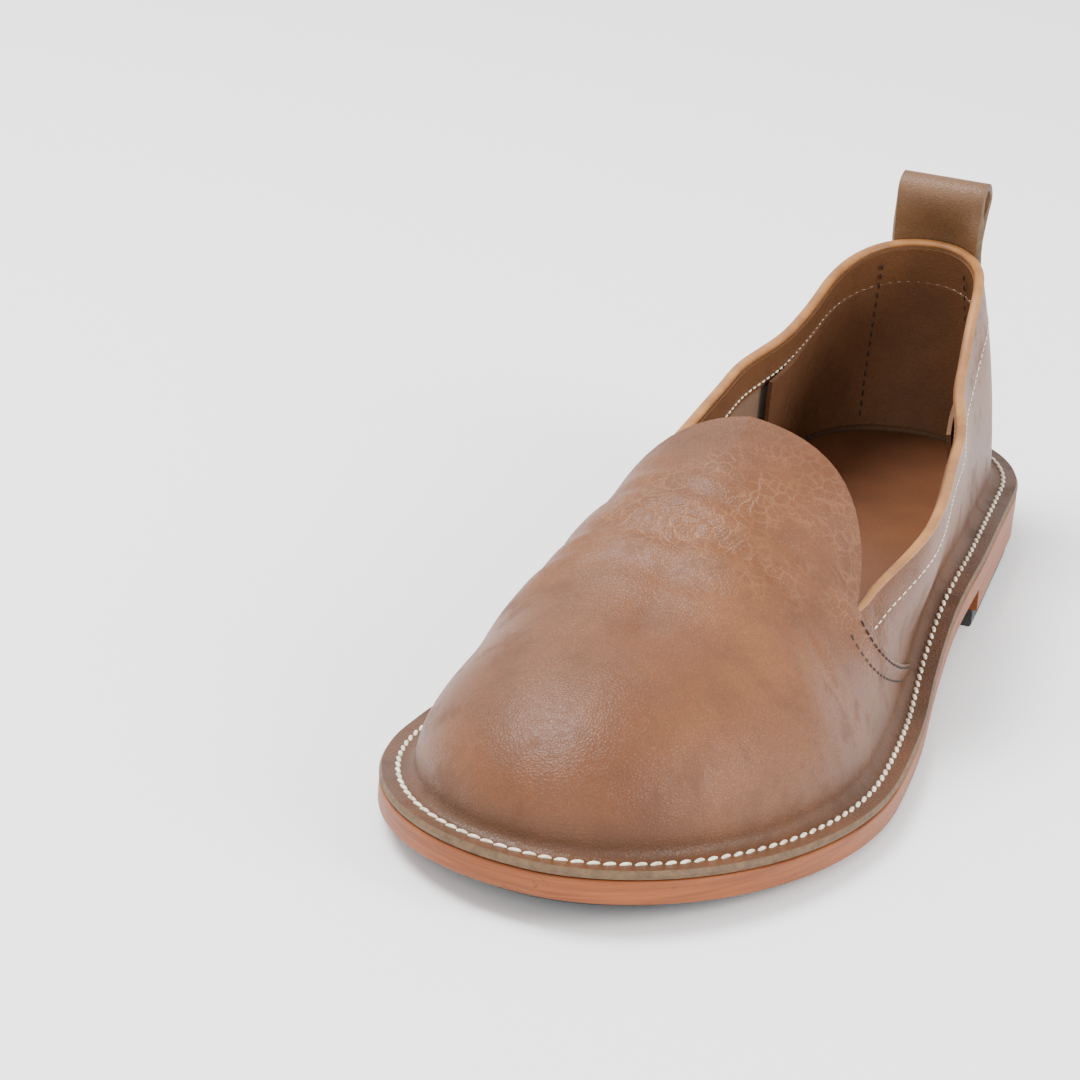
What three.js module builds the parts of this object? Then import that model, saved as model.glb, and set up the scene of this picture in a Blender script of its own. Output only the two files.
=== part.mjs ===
// Plain leather slip-on shoe for the left foot, stitched down on a leather sole.
// Millimetres, +Y towards the toe, +X towards the inner side of the foot, +Z up.
import * as THREE from "three";
import { mergeVertices } from "three/addons/utils/BufferGeometryUtils.js";

// Sizes of the sole
const soleLength = 302;
const ballWidth = 105;
const soleThickness = 5.5;
const liftThickness = 6;
const topPieceThickness = 4.5;
const rubberThickness = 2;
const toeSpring = 5;
const heelLength = 91;
const heelTaper = 1.2;
const heelOffset = 1.5;
const rubberInset = 4.5;
const rubberStart = 168;
const treadStart = 181;
const treadEnd = 206;

// Sizes of the upper
const leather = 2;
const flangeWidth = 7.5;
const flangeReveal = 0.4;
const filletRadius = 2.5;
const backHeight = 53.5;
const instepHeight = 66;
const seamBase = 154;
const seamSweep = 38;
const sweepReach = 109;
const tongueLength = 28.5;
const tongueRound = 2.6;
const tongueTuck = 0.03;
const vampStep = 1.4;
const stepRamp = 14;

// Sizes of the insole and of the back strip with its pull loop
const insoleThickness = 2.6;
const stripWidth = 24;
const loopWidth = 24.5;
const stripLeather = 1.8;
const loopHeight = 18;
const loopGap = 6;
const loopLean = 4;
const stripTail = 9;

// Pieces that touch keep this gap, so that their faces never cross
const seat = 0.3;
// Points closer than this are one point
const weldReach = 0.001;

// Half widths of the sole from its middle line, before its ends are rounded:
// share of the length, outer side and inner side as shares of the ball width
const widthTable = [
  { along: 0.0, outer: 0.278, inner: 0.343 },
  { along: 0.2, outer: 0.345, inner: 0.35 },
  { along: 0.3, outer: 0.378, inner: 0.325 },
  { along: 0.4, outer: 0.4, inner: 0.291 },
  { along: 0.5, outer: 0.438, inner: 0.294 },
  { along: 0.6, outer: 0.487, inner: 0.362 },
  { along: 0.7, outer: 0.518, inner: 0.453 },
  { along: 0.76, outer: 0.52, inner: 0.498 },
  { along: 1.0, outer: 0.52, inner: 0.498 },
];

// The rounded ends: where the rounding starts, and how square it is
const heelRound = { length: 0.125, power: 2.15 };
const toeRound = {
  outer: { start: 0.73, power: 1.85 },
  inner: { start: 0.8, power: 2.05 },
};

// The last, section by section. Each section runs from the feather line up to a ridge:
// along = share of the sole at the feather line, ridge = share of the length of the ridge point,
// rise = height of the ridge over the sole as a share of the instep height, wide and tall = how
// square the section is, outer and inner = how far each wall swells past its foot.
const lastTable = [
  { along: 0.0, ridge: 0.155, rise: 1.42, wide: 2.5, tall: 2.4, outer: -0.06, inner: -0.06 },
  { along: 0.2, ridge: 0.327, rise: 1.34, wide: 2.3, tall: 2.4, outer: -0.14, inner: -0.18 },
  { along: 0.3, ridge: 0.427, rise: 1.2, wide: 2.3, tall: 2.3, outer: 0.16, inner: 0.24 },
  { along: 0.4, ridge: 0.55, rise: 1.01, wide: 2.2, tall: 2.1, outer: 0.25, inner: 0.37 },
  { along: 0.487, ridge: 0.65, rise: 0.885, wide: 2.1, tall: 2.0, outer: -0.05, inner: 0.15 },
  { along: 0.6, ridge: 0.687, rise: 0.785, wide: 2.0, tall: 1.9, outer: -0.1, inner: 0.05 },
  { along: 0.75, ridge: 0.74, rise: 0.665, wide: 2.0, tall: 1.9, outer: 0.0, inner: -0.03 },
  { along: 0.9, ridge: 0.785, rise: 0.58, wide: 2.1, tall: 1.9, outer: 0.0, inner: -0.02 },
  { along: 1.0, ridge: 0.8, rise: 0.56, wide: 2.1, tall: 1.9, outer: 0.0, inner: 0.0 },
];

// Height of the collar over the feather line as shares of the back height
const collarTable = [
  { along: 0.0, outer: 1.0, inner: 1.0 },
  { along: 0.1, outer: 0.93, inner: 0.88 },
  { along: 0.2, outer: 0.69, inner: 0.77 },
  { along: 0.3, outer: 0.58, inner: 0.695 },
  { along: 0.4, outer: 0.565, inner: 0.62 },
  { along: 0.487, outer: 0.475, inner: 0.52 },
];

// Smooth curve through one column of a table
function read(table, along, column) {
  const last = table.length - 1;
  let i = 0;
  while (i < last - 1 && along > table[i + 1].along) i += 1;
  const slope = (k) => {
    const a = table[Math.max(k - 1, 0)];
    const b = table[Math.min(k + 1, last)];
    return (b[column] - a[column]) / (b.along - a.along);
  };
  const span = table[i + 1].along - table[i].along;
  const u = Math.min(Math.max((along - table[i].along) / span, 0), 1);
  const v = 1 - u;
  return table[i][column] * (1 + 2 * u) * v * v
    + span * slope(i) * u * v * v
    + table[i + 1][column] * u * u * (1 + 2 * v)
    - span * slope(i + 1) * u * u * v;
}

function smooth(u) {
  const c = Math.min(Math.max(u, 0), 1);
  return c * c * (3 - 2 * c);
}

const sideName = (side) => (side < 0 ? "outer" : "inner");

// The middle line bends to the outer side behind the waist
function middleLine(along) {
  return -heelOffset * (1 - smooth(along / (seamBase / soleLength)));
}

// Edge of the sole at a share of its length. side is -1 on the outer side and 1 on the inner side.
function edge(along, side) {
  const name = sideName(side);
  const width = read(widthTable, along, name) * ballWidth;
  const back = Math.max(1 - along / heelRound.length, 0);
  const toe = toeRound[name];
  const front = Math.max((along - toe.start) / (1 - toe.start), 0);
  const round = (1 - back ** heelRound.power) ** (1 / heelRound.power)
    * Math.max(1 - front ** toe.power, 0) ** (1 / toe.power);
  return new THREE.Vector2(middleLine(along) + side * width * round, along * soleLength);
}

// Sections are close together at the rounded ends
const spread = (t) => 0.5 - 0.5 * Math.cos(Math.PI * t);
const unspread = (along) => Math.acos(1 - 2 * along) / Math.PI;

// A line that runs inside the edge of the sole at a set distance
function insideEdge(t, side, distance) {
  const step = 0.001;
  const inward = new THREE.Vector2(0, 1);
  if (t > 1 - 2 * step) inward.set(0, -1);
  else if (t > 2 * step) {
    const run = edge(spread(t + step), side).sub(edge(spread(t - step), side)).normalize();
    inward.set(-side * run.y, side * run.x);
  }
  return edge(spread(t), side).addScaledVector(inward, distance);
}

const heelStack = liftThickness + topPieceThickness;

// Underside and top of the leather sole at a distance from the back of the heel
function soleBottom(y) {
  const waist = smooth((y - heelLength) / (treadStart - heelLength));
  const spring = Math.max((y - treadEnd) / (soleLength - treadEnd), 0);
  return heelStack + (rubberThickness - heelStack) * waist + toeSpring * spring * spring;
}

const soleTop = (y) => soleBottom(y) + soleThickness;

const spotKey = (p) => p.toArray().map((v) => Math.round(v / weldReach)).join();

// A closed body from the triangles of one surface: the outer face is moved out by lift,
// the inner face in by wall, and open borders are closed between them.
function thicken(points, triangles, lifts, wall) {
  const keys = new Map();
  const merged = [];
  const mergedLifts = [];
  const index = points.map((p, i) => {
    const key = `${spotKey(p)},${Math.round(lifts[i] / weldReach)}`;
    if (!keys.has(key)) {
      keys.set(key, merged.length);
      merged.push(p);
      mergedLifts.push(lifts[i]);
    }
    return keys.get(key);
  });
  const faces = triangles
    .map((tri) => tri.map((k) => index[k]))
    .filter(([a, b, c]) => a !== b && b !== c && c !== a);
  const spots = new Map();
  const spotOf = merged.map((p) => {
    const key = spotKey(p);
    if (!spots.has(key)) spots.set(key, new THREE.Vector3());
    return key;
  });
  for (const [a, b, c] of faces) {
    const ab = merged[b].clone().sub(merged[a]);
    const ac = merged[c].clone().sub(merged[a]);
    const normal = ab.cross(ac);
    for (const k of [a, b, c]) spots.get(spotOf[k]).add(normal);
  }
  const normals = merged.map((p, k) => spots.get(spotOf[k]).clone().normalize());
  const count = merged.length;
  const vertices = [];
  merged.forEach((p, k) => vertices.push(p.clone().addScaledVector(normals[k], mergedLifts[k])));
  merged.forEach((p, k) => vertices.push(p.clone().addScaledVector(normals[k], -wall)));
  const closed = [];
  const border = new Map();
  for (const [a, b, c] of faces) {
    closed.push([a, b, c], [c + count, b + count, a + count]);
    for (const [m, n] of [[a, b], [b, c], [c, a]]) {
      const back = `${n},${m}`;
      if (border.has(back)) border.delete(back);
      else border.set(`${m},${n}`, [m, n]);
    }
  }
  for (const [m, n] of border.values()) closed.push([n, m, m + count], [n, m + count, n + count]);
  return solid(vertices, closed);
}

function solid(vertices, triangles) {
  const geometry = new THREE.BufferGeometry();
  const numbers = vertices.flatMap((p) => p.toArray());
  geometry.setAttribute("position", new THREE.Float32BufferAttribute(numbers, 3));
  geometry.setIndex(triangles.flat());
  const welded = mergeVertices(geometry, weldReach);
  const index = Array.from(welded.index.array);
  const kept = [];
  for (let i = 0; i < index.length; i += 3) {
    const [a, b, c] = index.slice(i, i + 3);
    if (a !== b && b !== c && c !== a) kept.push(a, b, c);
  }
  welded.setIndex(kept);
  return welded;
}

// Triangles of a grid of points whose rows all have the same length
function gridTriangles(rows, columns, offset, flip) {
  const triangles = [];
  for (let r = 0; r < rows - 1; r += 1) {
    for (let c = 0; c < columns - 1; c += 1) {
      const a = offset + r * columns + c;
      const b = a + 1;
      const d = a + columns;
      const e = d + 1;
      if (flip) triangles.push([a, d, b], [b, d, e]);
      else triangles.push([a, b, d], [b, e, d]);
    }
  }
  return triangles;
}

// A slab with the outline of the sole, set in from its edge, between two heights over y.
// It is cut straight across where it starts or ends short of the sole.
function slab(from, to, inset, bottom, top, sections) {
  const tFrom = unspread(from / soleLength);
  const tTo = unspread(to / soleLength);
  const vertices = [];
  const triangles = [];
  for (let i = 0; i <= sections; i += 1) {
    const t = tFrom + ((tTo - tFrom) * i) / sections;
    const pair = [insideEdge(t, -1, inset), insideEdge(t, 1, inset)];
    for (const point of pair) {
      if (i === 0 && from > 0) point.y = from;
      if (i === sections && to < soleLength) point.y = to;
    }
    const [outer, inner] = pair;
    vertices.push(
      new THREE.Vector3(outer.x, outer.y, bottom(outer.y)),
      new THREE.Vector3(inner.x, inner.y, bottom(inner.y)),
      new THREE.Vector3(inner.x, inner.y, top(inner.y)),
      new THREE.Vector3(outer.x, outer.y, top(outer.y)),
    );
  }
  for (let i = 0; i < sections; i += 1) {
    for (let k = 0; k < 4; k += 1) {
      const a = i * 4 + k;
      const b = i * 4 + ((k + 1) % 4);
      triangles.push([a, b + 4, b], [a, a + 4, b + 4]);
    }
  }
  const end = sections * 4;
  triangles.push([0, 1, 2], [0, 2, 3], [end, end + 2, end + 1], [end, end + 3, end + 2]);
  return solid(vertices, triangles);
}

// Foot of the wall: on the feather line, at the top of the fillet
const feather = (t, side) => insideEdge(t, side, flangeWidth);
const flangeTop = (y) => soleTop(y) + seat + leather;
const footHeight = (y) => flangeTop(y) + filletRadius;

const seamAlong = seamBase / soleLength;
const seamT = unspread(seamAlong);

// Sections lean forward as they rise, most of all at the side seam
function sweep(along) {
  const u = ((along - seamAlong) * soleLength) / sweepReach;
  const fade = Math.max(1 - u * u, 0);
  return (seamSweep / soleLength) * fade * fade;
}

function collarHeight(t, side) {
  const along = Math.min(spread(t), seamAlong);
  return read(collarTable, along, sideName(side)) * backHeight;
}

function ridgePoint(t) {
  const along = spread(t);
  const y = read(lastTable, along, "ridge") * soleLength;
  const z = soleTop(y) + read(lastTable, along, "rise") * instepHeight;
  return new THREE.Vector3(middleLine(along), y, z);
}

// Share of the section's height at which the wall reaches the collar
function collarShare(t, side) {
  const foot = footHeight(feather(t, side).y);
  return collarHeight(t, side) / (ridgePoint(t).z - foot);
}

// A point of the upper's wall. angle is 0 at the foot and a quarter turn on the ridge.
function wallPoint(t, side, angle) {
  const along = spread(t);
  const ridge = ridgePoint(t);
  const tall = read(lastTable, along, "tall");
  const wide = read(lastTable, along, "wide");
  const swell = read(lastTable, along, sideName(side));
  const up = Math.sin(angle) ** (2 / tall);
  const swept = 1 - (1 - Math.min(up / collarShare(Math.min(t, seamT), side), 1)) ** 2;
  const foot = feather(t, side);
  const base = feather(unspread(Math.min(along + sweep(along) * swept, 1)), side);
  const out = Math.max(Math.cos(angle), 0) ** (2 / wide) + swell * Math.sin(2 * angle);
  const height = footHeight(foot.y) + (ridge.z - footHeight(foot.y)) * up;
  return new THREE.Vector3(ridge.x + (base.x - ridge.x) * out, ridge.y + (base.y - ridge.y) * out, height);
}

const angleAt = (t, up) => Math.asin(Math.min(up, 1) ** (read(lastTable, spread(t), "tall") / 2));
const collarAngle = (t, side) => angleAt(t, collarShare(t, side));

// Section whose ridge point lies at a distance from the back of the heel
function sectionOfRidge(y) {
  let low = 0;
  let high = 1;
  for (let k = 0; k < 40; k += 1) {
    const middle = (low + high) / 2;
    if (ridgePoint(middle).y < y) low = middle;
    else high = middle;
  }
  return low;
}

const tongueT = sectionOfRidge(ridgePoint(seamT).y - tongueLength);

// Half width of the tongue over that at its corners, at a share of its length from the tip.
// It runs almost straight back from a small tuck at the corner.
function tongueShape(share) {
  const from = Math.min(Math.max(share, 0), 1);
  const round = (1 - (1 - from) ** tongueRound) ** (1 / tongueRound);
  return (1 - tongueTuck) * round + tongueTuck * from ** 8;
}

// Lowest angle of the vamp. Over the opening its edge is a rounded tongue in plan, from the tip to
// the seam. In front of the seam it is a line that meets its like from the other side at the toe.
function vampAngle(t, side) {
  const cornerAngle = collarAngle(seamT, side);
  if (t >= seamT) {
    const shared = (cornerAngle + collarAngle(seamT, -side)) / 2;
    return cornerAngle + (shared - cornerAngle) * smooth((t - seamT) / (1 - seamT));
  }
  const tip = ridgePoint(tongueT);
  const corner = wallPoint(seamT, side, cornerAngle);
  let low = 0;
  let high = Math.PI / 2;
  for (let k = 0; k < 30; k += 1) {
    const angle = (low + high) / 2;
    const point = wallPoint(t, side, angle);
    const beside = Math.abs((point.x - tip.x) / (corner.x - tip.x));
    const share = (point.y - tip.y) / (corner.y - tip.y);
    if (beside < tongueShape(share)) high = angle;
    else low = angle;
  }
  return high;
}

// How many sections and rows each surface has, and where its rows lie on the flange and the fillet
const steps = { quarter: 13, tongue: 6, vamp: 15, wallRows: 7, vampRows: 8 };
const flangeMiddle = 0.4;
const filletTurns = [1, 0.5];

function sectionList() {
  const list = [];
  const span = (from, to, count) => {
    for (let i = 0; i < count; i += 1) list.push({ t: from + ((to - from) * i) / count });
  };
  span(0, tongueT, steps.quarter);
  for (let i = 0; i < steps.tongue; i += 1) {
    const u = i / steps.tongue;
    list.push({ t: tongueT + (seamT - tongueT) * u * u * (2 - u) });
  }
  list.push({ t: seamT, seam: "back" });
  span(seamT, 1, steps.vamp);
  list.push({ t: 1 });
  return list;
}

// The upper: heel and side quarters and a plain vamp with a rounded tongue, one hollow wall
// whose foot is turned outwards over the sole
function upperGeometry() {
  const sections = sectionList();
  const points = [];
  const lifts = [];
  const triangles = [];
  const { wallRows, vampRows } = steps;
  const liftAt = (section, side, angle) => {
    if (section.seam === "back" || section.t < seamT) return 0;
    const ahead = (spread(section.t) - seamAlong) * soleLength;
    const above = (angle - collarAngle(seamT, side)) / (Math.PI / 2 - collarAngle(seamT, side));
    return vampStep * (1 - smooth(ahead / stepRamp)) * (1 - smooth(above * 2));
  };
  for (const side of [-1, 1]) {
    const start = points.length;
    for (const section of sections) {
      const { t } = section;
      const foot = feather(t, side);
      const rim = insideEdge(t, side, flangeReveal);
      const out = rim.clone().sub(foot).normalize();
      const add = (p, height, lift) => {
        points.push(new THREE.Vector3(p.x, p.y, height));
        lifts.push(lift);
      };
      const middle = rim.clone().lerp(foot, flangeMiddle);
      add(rim, flangeTop(rim.y), 0);
      add(middle, flangeTop(middle.y), 0);
      for (const turn of filletTurns) {
        const quarter = (turn * Math.PI) / 2;
        const along = foot.clone().addScaledVector(out, filletRadius * (1 - Math.cos(quarter)));
        const height = flangeTop(foot.y) + filletRadius * (1 - Math.sin(quarter));
        add(along, height, liftAt(section, side, 0) * (1 - turn));
      }
      const top = t > seamT ? vampAngle(t, side) : collarAngle(t, side);
      for (let r = 0; r <= wallRows; r += 1) {
        const angle = (top * r) / wallRows;
        points.push(wallPoint(t, side, angle));
        lifts.push(liftAt(section, side, angle));
      }
    }
    const columns = 2 + filletTurns.length + wallRows + 1;
    triangles.push(...gridTriangles(sections.length, columns, start, side > 0));
    const vampStart = points.length;
    const vampSections = sections.filter((section) => section.t >= tongueT && section.seam !== "back");
    for (const section of vampSections) {
      const low = vampAngle(section.t, side);
      for (let r = 0; r <= vampRows; r += 1) {
        const angle = low + ((Math.PI / 2 - low) * r) / vampRows;
        points.push(wallPoint(section.t, side, angle));
        lifts.push(liftAt(section, side, angle));
      }
    }
    triangles.push(...gridTriangles(vampSections.length, vampRows + 1, vampStart, side > 0));
  }
  return thicken(points, triangles, lifts, leather);
}

// Outer face of the back of the upper at a distance beside its seam and a height over the foot
function backPoint(beside, height) {
  const side = beside < 0 ? -1 : 1;
  let low = 0;
  let high = seamT;
  let point = null;
  for (let k = 0; k < 30; k += 1) {
    const t = (low + high) / 2;
    const foot = footHeight(feather(t, side).y);
    point = wallPoint(t, side, angleAt(t, height / (ridgePoint(t).z - foot)));
    if (Math.abs(point.x - middleLine(0)) < Math.abs(beside)) low = t;
    else high = t;
  }
  return point;
}

// The back strip covers the heel seam. Its upper end is folded forwards into the pull loop,
// and the tail of the fold is sewn in under the strip at the collar.
function stripGeometry() {
  const rest = seat + stripLeather;
  const raised = rest + seat + stripLeather;
  const top = backHeight + loopHeight;
  const tailEnd = backHeight - stripTail;
  const bend = (loopGap + 2 * stripLeather) / 2;
  const legTop = top - bend;
  const lean = (h) => loopLean * smooth((h - backHeight) / (legTop - backHeight));
  const path = [];
  const outerSteps = 12;
  for (let i = 0; i <= outerSteps; i += 1) {
    const h = filletRadius + ((legTop - filletRadius) * i) / outerSteps;
    const overTail = (raised - rest) * smooth((h - tailEnd + stripTail) / stripTail);
    const open = (seat + 2 * bend - raised) * smooth((h - backHeight) / (legTop - backHeight));
    path.push({ h, out: rest + overTail + open - lean(h) });
  }
  const foldSteps = 6;
  for (let i = 1; i <= foldSteps; i += 1) {
    const angle = (i / foldSteps) * Math.PI;
    const out = seat + bend + bend * Math.cos(angle) - loopLean;
    path.push({ h: legTop + bend * Math.sin(angle), out });
  }
  const innerSteps = 5;
  for (let i = 1; i <= innerSteps; i += 1) {
    const h = legTop + ((tailEnd - legTop) * i) / innerSteps;
    path.push({ h, out: seat - lean(h) });
  }
  const across = 8;
  const chord = backPoint(stripWidth / 4, backHeight).y;
  const points = [];
  for (const { h, out } of path) {
    const flare = 1 + (loopWidth / stripWidth - 1) * (h / top);
    const flat = smooth((h - backHeight) / (legTop - backHeight));
    for (let c = 0; c <= across; c += 1) {
      const x = stripWidth * flare * (c / across - 0.5);
      const p = backPoint(x, Math.min(h, backHeight));
      const beside = backPoint(x + seat, Math.min(h, backHeight));
      const slope = ((beside.y - p.y) / (beside.x - p.x)) * (1 - flat);
      const y = p.y + (chord - p.y) * flat - out * Math.hypot(1, slope);
      points.push(new THREE.Vector3(middleLine(0) + x, y, p.z + Math.max(h - backHeight, 0)));
    }
  }
  const triangles = gridTriangles(path.length, across + 1, 0, false);
  return thicken(points, triangles, points.map(() => 0), stripLeather);
}

// How many sections each slab has
const cuts = { sole: 44, heel: 16, rubber: 26, insole: 40 };

const outsole = slab(0, soleLength, 0, soleBottom, soleTop, cuts.sole);
const lift = slab(0, heelLength, 0, () => topPieceThickness + seat, () => heelStack - seat, cuts.heel);
const topPiece = slab(0, heelLength, heelTaper, () => 0, () => topPieceThickness, cuts.heel);
const rubber = slab(
  rubberStart,
  soleLength,
  rubberInset,
  (y) => soleBottom(y) - rubberThickness,
  (y) => soleBottom(y) - seat,
  cuts.rubber,
);
const insole = slab(
  0,
  soleLength,
  flangeWidth + leather + seat,
  (y) => soleTop(y) + seat,
  (y) => soleTop(y) + seat + insoleThickness,
  cuts.insole,
);

function piece(name, geometry, color, roughness) {
  const material = new THREE.MeshStandardMaterial({ color, roughness, metalness: 0 });
  const mesh = new THREE.Mesh(geometry, material);
  mesh.name = name;
  return mesh;
}

const shoe = new THREE.Group();
shoe.add(
  piece("upper", upperGeometry(), 0xa57d60, 0.55),
  piece("heel_strip", stripGeometry(), 0x8f6b4c, 0.6),
  piece("insole", insole, 0x965f37, 0.6),
  piece("outsole", outsole, 0xc78957, 0.5),
  piece("heel_lift", lift, 0xc78957, 0.5),
  piece("heel_top_piece", topPiece, 0x3c3d3f, 0.7),
  piece("forefoot_rubber", rubber, 0x3c3d3f, 0.7),
);

// The origin is on the floor under the middle of the sole
outsole.computeBoundingBox();
const middle = outsole.boundingBox.getCenter(new THREE.Vector3());
shoe.position.set(-middle.x, -middle.y, 0);

export default shoe;
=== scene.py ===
import math
import bpy
import numpy as np
from mathutils import Matrix, Vector


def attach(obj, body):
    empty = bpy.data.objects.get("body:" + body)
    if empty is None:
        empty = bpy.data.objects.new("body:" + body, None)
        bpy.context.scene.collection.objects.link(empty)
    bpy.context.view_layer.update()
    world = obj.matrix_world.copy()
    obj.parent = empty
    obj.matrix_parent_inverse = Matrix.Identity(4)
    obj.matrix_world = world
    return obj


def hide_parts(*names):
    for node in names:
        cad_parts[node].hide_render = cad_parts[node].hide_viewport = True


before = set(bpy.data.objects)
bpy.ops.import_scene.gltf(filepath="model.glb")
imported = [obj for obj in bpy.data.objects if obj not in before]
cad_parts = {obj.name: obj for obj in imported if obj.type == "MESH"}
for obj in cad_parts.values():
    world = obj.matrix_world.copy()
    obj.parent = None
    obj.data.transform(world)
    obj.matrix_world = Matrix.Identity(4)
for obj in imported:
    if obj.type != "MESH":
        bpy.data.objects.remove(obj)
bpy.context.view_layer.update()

# Heel top piece. On the real shoe a black rubber slab under the whole heel, cut with the heel's
# outline and straight across at the breast, and cemented and nailed on before the edge is trimmed.

# All sizes are in millimetres from the back of the heel, +X to the inner side of the foot
sole_length = 302
ball_width = 105
sole_thickness = 5.5
lift_thickness = 6
top_piece_thickness = 4.5
rubber_thickness = 2
toe_spring = 5
heel_length = 91
heel_taper = 1.2
heel_offset = 1.5
tread_start = 181
tread_end = 206
seam_base = 154
seat = 0.3
heel_stack = lift_thickness + top_piece_thickness

width_table = [
    {"along": 0.0, "outer": 0.278, "inner": 0.343},
    {"along": 0.2, "outer": 0.345, "inner": 0.35},
    {"along": 0.3, "outer": 0.378, "inner": 0.325},
    {"along": 0.4, "outer": 0.4, "inner": 0.291},
    {"along": 0.5, "outer": 0.438, "inner": 0.294},
    {"along": 0.6, "outer": 0.487, "inner": 0.362},
    {"along": 0.7, "outer": 0.518, "inner": 0.453},
    {"along": 0.76, "outer": 0.52, "inner": 0.498},
    {"along": 1.0, "outer": 0.52, "inner": 0.498},
]
heel_round = {"length": 0.125, "power": 2.15}
toe_round = {
    "outer": {"start": 0.73, "power": 1.85},
    "inner": {"start": 0.8, "power": 2.05},
}


def read(table, along, column):
    """Smooth curve through one column of a table."""
    last = len(table) - 1
    i = 0
    while i < last - 1 and along > table[i + 1]["along"]:
        i += 1

    def slope(k):
        a, b = table[max(k - 1, 0)], table[min(k + 1, last)]
        return (b[column] - a[column]) / (b["along"] - a["along"])

    here, there = table[i], table[i + 1]
    span = there["along"] - here["along"]
    u = min(max((along - here["along"]) / span, 0), 1)
    v = 1 - u
    return (
        here[column] * (1 + 2 * u) * v * v
        + span * slope(i) * u * v * v
        + there[column] * u * u * (1 + 2 * v)
        - span * slope(i + 1) * u * u * v
    )


def smooth(u):
    c = min(max(u, 0), 1)
    return c * c * (3 - 2 * c)


def side_name(side):
    return "outer" if side < 0 else "inner"


def middle_line(along):
    return -heel_offset * (1 - smooth(along * sole_length / seam_base))


def edge(along, side):
    """Edge of the sole at a share of its length, -1 on the outer side and 1 on the inner side."""
    name = side_name(side)
    toe = toe_round[name]
    back = max(1 - along / heel_round["length"], 0)
    front = max((along - toe["start"]) / (1 - toe["start"]), 0)
    power = heel_round["power"]
    rounding = (1 - back**power) ** (1 / power) * max(1 - front ** toe["power"], 0) ** (1 / toe["power"])
    width = read(width_table, along, name) * ball_width
    return np.array([middle_line(along) + side * width * rounding, along * sole_length])


def spread(t):
    return 0.5 - 0.5 * math.cos(math.pi * t)


def unspread(along):
    return math.acos(1 - 2 * along) / math.pi


def inside_edge(t, side, distance):
    """A point that lies a set distance inside the edge of the sole."""
    step = 0.001
    inward = np.array([0.0, 1.0])
    if t > 1 - 2 * step:
        inward = np.array([0.0, -1.0])
    elif t > 2 * step:
        run = edge(spread(t + step), side) - edge(spread(t - step), side)
        run /= math.hypot(*run)
        inward = np.array([-side * run[1], side * run[0]])
    return edge(spread(t), side) + inward * distance


def sole_bottom(y):
    waist = smooth((y - heel_length) / (tread_start - heel_length))
    spring = max((y - tread_end) / (sole_length - tread_end), 0)
    return heel_stack + (rubber_thickness - heel_stack) * waist + toe_spring * spring**2


def sole_top(y):
    return sole_bottom(y) + sole_thickness


outline = [edge(i / 400, side)[0] for i in range(401) for side in (-1, 1)]
frame_origin = np.array([(min(outline) + max(outline)) / 2, sole_length / 2, 0])


def make_piece(name, points, faces, material, sharp_angle=40):
    """A mesh object from points in millimetres, placed in the frame and riding on the shoe."""
    mesh = bpy.data.meshes.new(name)
    vertices = (np.array(points) - frame_origin) / 1000
    mesh.from_pydata(vertices.tolist(), [], [list(face) for face in faces])
    mesh.validate()
    mesh.shade_smooth()
    mesh.set_sharp_from_angle(angle=math.radians(sharp_angle))
    piece = bpy.data.objects.new(name, mesh)
    bpy.context.scene.collection.objects.link(piece)
    mesh.materials.append(material)
    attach(piece, "root")
    return piece


def slab(name, start, end, inset, bottom, top, bevel, material, sections=120):
    """A slab with the outline of the sole and softened edges, cut straight across at its ends."""
    t_start, t_end = unspread(start / sole_length), unspread(end / sole_length)
    low, high = [], []
    for turn in (0, 30, 60, 90):
        angle = math.radians(turn)
        low.append((bevel * (1 - math.sin(angle)), bevel * (1 - math.cos(angle))))
        high.append((bevel * (1 - math.cos(angle)), -bevel * (1 - math.sin(angle))))
    profile = [(d, "bottom", h) for d, h in low] + [(d, "top", h) for d, h in high]
    ring_sides = [(-1, row) for row in profile] + [(1, row) for row in reversed(profile)]
    points = []
    for i in range(sections + 1):
        t = t_start + (t_end - t_start) * i / sections
        for side, (depth, level, rise) in ring_sides:
            x, y = inside_edge(t, side, inset + depth)
            if i == 0 and start > 0:
                y = start
            if i == sections and end < sole_length:
                y = end
            z = (bottom(y) if level == "bottom" else top(y)) + rise
            points.append((x, y, z))
    ring = len(ring_sides)
    faces = []
    for i in range(sections):
        for k in range(ring):
            a, b = i * ring + k, i * ring + (k + 1) % ring
            faces.append((b, a, a + ring, b + ring))
    faces.append(tuple(range(ring)))
    faces.append(tuple(reversed(range(sections * ring, (sections + 1) * ring))))
    return make_piece(name, points, faces, material)


def srgb(red, green, blue):
    def linear(v):
        c = v / 255
        return c / 12.92 if c <= 0.04045 else ((c + 0.055) / 1.055) ** 2.4

    return (linear(red), linear(green), linear(blue), 1.0)


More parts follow.
